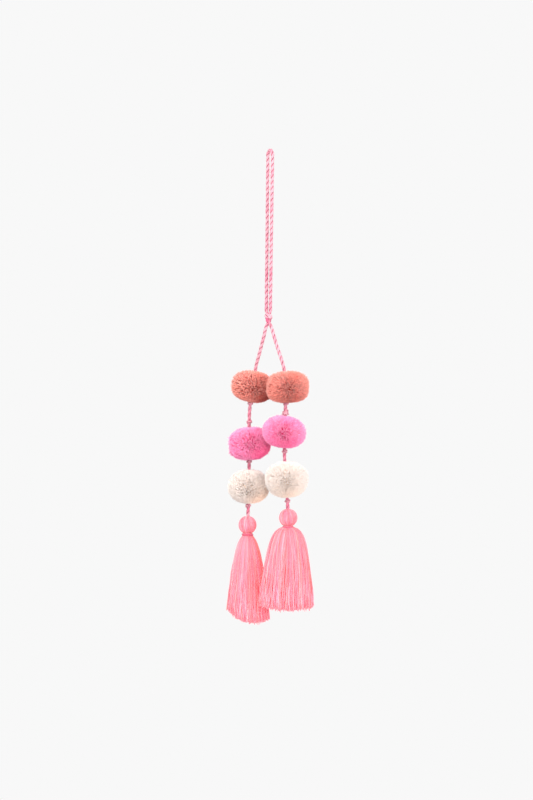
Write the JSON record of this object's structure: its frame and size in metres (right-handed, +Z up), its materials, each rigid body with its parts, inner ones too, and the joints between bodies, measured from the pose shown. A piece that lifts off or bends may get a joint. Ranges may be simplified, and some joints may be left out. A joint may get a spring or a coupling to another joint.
{
  "type": "wristlet keychain",
  "caption": "Twisted-cord wrist loop knotted above two hanging strands, each threaded with pom-poms and ending in a bound thread tassel.",
  "frame": {"origin": "underside of the cord at the top of the wrist loop, where the charm hangs", "axes": "+Z up along the hanging loop, -Y to the front, +X to the right seen from the front"},
  "size_m": [0.0694, 0.0514, 0.3773],
  "materials": {
    "pink_cord": "matte",
    "knotted_cord": "matte",
    "coral_yarn": "matte",
    "pink_yarn": "matte",
    "cream_yarn": "matte",
    "tassel_thread": "matte",
    "binding_thread": "matte",
    "tie_thread": "matte"
  },
  "bodies": {
    "loop_top": {"loop_cord_top": "pink_cord"},
    "loop_left_upper": {"loop_cord_left_upper": "pink_cord"},
    "loop_left_lower": {"loop_cord_left_lower": "pink_cord"},
    "loop_right_upper": {"loop_cord_right_upper": "pink_cord"},
    "loop_right_lower": {"loop_cord_right_lower": "pink_cord"},
    "knot": {"loop_knot": "knotted_cord"},
    "left_leg": {"left_leg_cord": "pink_cord", "left_coral_stop_knot": "knotted_cord"},
    "left_coral": {"left_coral_pompom": "coral_yarn", "left_coral_tie": "tie_thread"},
    "left_middle": {"left_middle_cord": "pink_cord", "left_pink_top_knot": "knotted_cord", "left_pink_stop_knot": "knotted_cord"},
    "left_pink": {"left_pink_pompom": "pink_yarn", "left_pink_tie": "tie_thread"},
    "left_lower": {"left_lower_cord": "pink_cord", "left_cream_stop_knot": "knotted_cord"},
    "left_cream": {"left_cream_pompom": "cream_yarn", "left_cream_tie": "tie_thread"},
    "left_tassel": {"left_tassel_cord": "pink_cord", "left_end_knot": "knotted_cord", "left_tassel_head": "tassel_thread", "left_neck_wrap": "binding_thread"},
    "left_skirt": {"left_tassel_skirt": "tassel_thread"},
    "right_leg": {"right_leg_cord": "pink_cord", "right_coral_stop_knot": "knotted_cord"},
    "right_coral": {"right_coral_pompom": "coral_yarn", "right_coral_tie": "tie_thread"},
    "right_middle": {"right_middle_cord": "pink_cord", "right_pink_top_knot": "knotted_cord", "right_pink_stop_knot": "knotted_cord"},
    "right_pink": {"right_pink_pompom": "pink_yarn", "right_pink_tie": "tie_thread"},
    "right_lower": {"right_lower_cord": "pink_cord", "right_cream_stop_knot": "knotted_cord"},
    "right_cream": {"right_cream_pompom": "cream_yarn", "right_cream_tie": "tie_thread"},
    "right_tassel": {"right_tassel_cord": "pink_cord", "right_end_knot": "knotted_cord", "right_tassel_head": "tassel_thread", "right_neck_wrap": "binding_thread"},
    "right_skirt": {"right_tassel_skirt": "tassel_thread"}
  },
  "joints": [
    {"name": "left_loop_open", "type": "hinge", "parent": "knot", "child": "loop_left_lower", "pos_m": [-0.0031, 0.0009, -0.1276], "axis": [0, -1, 0], "range_deg": [0, 38], "stiffness_Nm_per_rad": 0.001},
    {"name": "left_loop_elbow", "type": "hinge", "parent": "loop_left_lower", "child": "loop_left_upper", "pos_m": [-0.00248, 0.00235, -0.06564], "axis": [0, 1, 0], "range_deg": [0, 76]},
    {"name": "fold_level", "type": "hinge", "parent": "loop_left_upper", "child": "loop_top", "pos_m": [-0.00185, 0.0038, -0.00367], "axis": [0, -1, 0], "range_deg": [0, 38]},
    {"name": "right_loop_open", "type": "hinge", "parent": "loop_top", "child": "loop_right_upper", "pos_m": [0.00185, -0.0038, -0.00367], "axis": [0, -1, 0], "range_deg": [0, 38]},
    {"name": "right_loop_elbow", "type": "hinge", "parent": "loop_right_upper", "child": "loop_right_lower", "pos_m": [0.00097, -0.00235, -0.06564], "axis": [0, 1, 0], "range_deg": [0, 76]},
    {"name": "left_leg_spread", "type": "hinge", "parent": "knot", "child": "left_leg", "pos_m": [-0.0033, 0.0006, -0.1402], "axis": [0, 1, 0], "range_deg": [0, 60]},
    {"name": "left_middle_swing", "type": "hinge", "parent": "left_leg", "child": "left_middle", "pos_m": [-0.0167, 0.0095, -0.2105], "axis": [1, 0, 0], "range_deg": [0, 35]},
    {"name": "left_lower_spread", "type": "hinge", "parent": "left_middle", "child": "left_lower", "pos_m": [-0.0169, 0.0095, -0.251], "axis": [0, 1, 0], "range_deg": [0, 25]},
    {"name": "left_tassel_swing", "type": "hinge", "parent": "left_lower", "child": "left_tassel", "pos_m": [-0.0177, 0.0095, -0.2872], "axis": [1, 0, 0], "range_deg": [0, 35]},
    {"name": "left_skirt_sway", "type": "hinge", "parent": "left_tassel", "child": "left_skirt", "pos_m": [-0.0182, 0.0095, -0.3077], "axis": [0, 1, 0], "range_deg": [0, 20]},
    {"name": "left_coral_spin", "type": "hinge", "parent": "left_leg", "child": "left_coral", "pos_m": [-0.0139, 0.0095, -0.1877], "axis": [0.153, 0, 0.9882], "continuous": true},
    {"name": "left_pink_spin", "type": "hinge", "parent": "left_middle", "child": "left_pink", "pos_m": [-0.0168, 0.0095, -0.2336], "axis": [0.0052, 0, 1], "continuous": true},
    {"name": "left_cream_spin", "type": "hinge", "parent": "left_lower", "child": "left_cream", "pos_m": [-0.01727, 0.0095, -0.2679], "axis": [0.0209, 0, 0.9998], "continuous": true},
    {"name": "right_leg_spread", "type": "hinge", "parent": "knot", "child": "right_leg", "pos_m": [0.0009, -0.0006, -0.1402], "axis": [0, -1, 0], "range_deg": [0, 60]},
    {"name": "right_middle_swing", "type": "hinge", "parent": "right_leg", "child": "right_middle", "pos_m": [0.0122, -0.0095, -0.2047], "axis": [-1, 0, 0], "range_deg": [0, 35]},
    {"name": "right_lower_spread", "type": "hinge", "parent": "right_middle", "child": "right_lower", "pos_m": [0.0114, -0.0095, -0.2432], "axis": [0, -1, 0], "range_deg": [0, 25]},
    {"name": "right_tassel_swing", "type": "hinge", "parent": "right_lower", "child": "right_tassel", "pos_m": [0.0139, -0.0095, -0.2829], "axis": [-1, 0, 0], "range_deg": [0, 35]},
    {"name": "right_skirt_sway", "type": "hinge", "parent": "right_tassel", "child": "right_skirt", "pos_m": [0.0143, -0.0095, -0.3013], "axis": [0, -1, 0], "range_deg": [0, 20]},
    {"name": "right_coral_spin", "type": "hinge", "parent": "right_leg", "child": "right_coral", "pos_m": [0.012, -0.0095, -0.1882], "axis": [-0.0523, 0, 0.9986], "continuous": true},
    {"name": "right_pink_spin", "type": "hinge", "parent": "right_middle", "child": "right_pink", "pos_m": [0.0118, -0.0095, -0.2241], "axis": [0.0209, 0, 0.9998], "continuous": true},
    {"name": "right_cream_spin", "type": "hinge", "parent": "right_lower", "child": "right_cream", "pos_m": [0.0126, -0.0095, -0.2622], "axis": [-0.0628, 0, 0.998], "continuous": true}
  ],
  "couplings": [
    {"joint": "left_loop_elbow", "follows": "left_loop_open", "ratio": 2},
    {"joint": "fold_level", "follows": "left_loop_open", "ratio": 1},
    {"joint": "right_loop_open", "follows": "left_loop_open", "ratio": 1},
    {"joint": "right_loop_elbow", "follows": "left_loop_open", "ratio": 2}
  ]
}
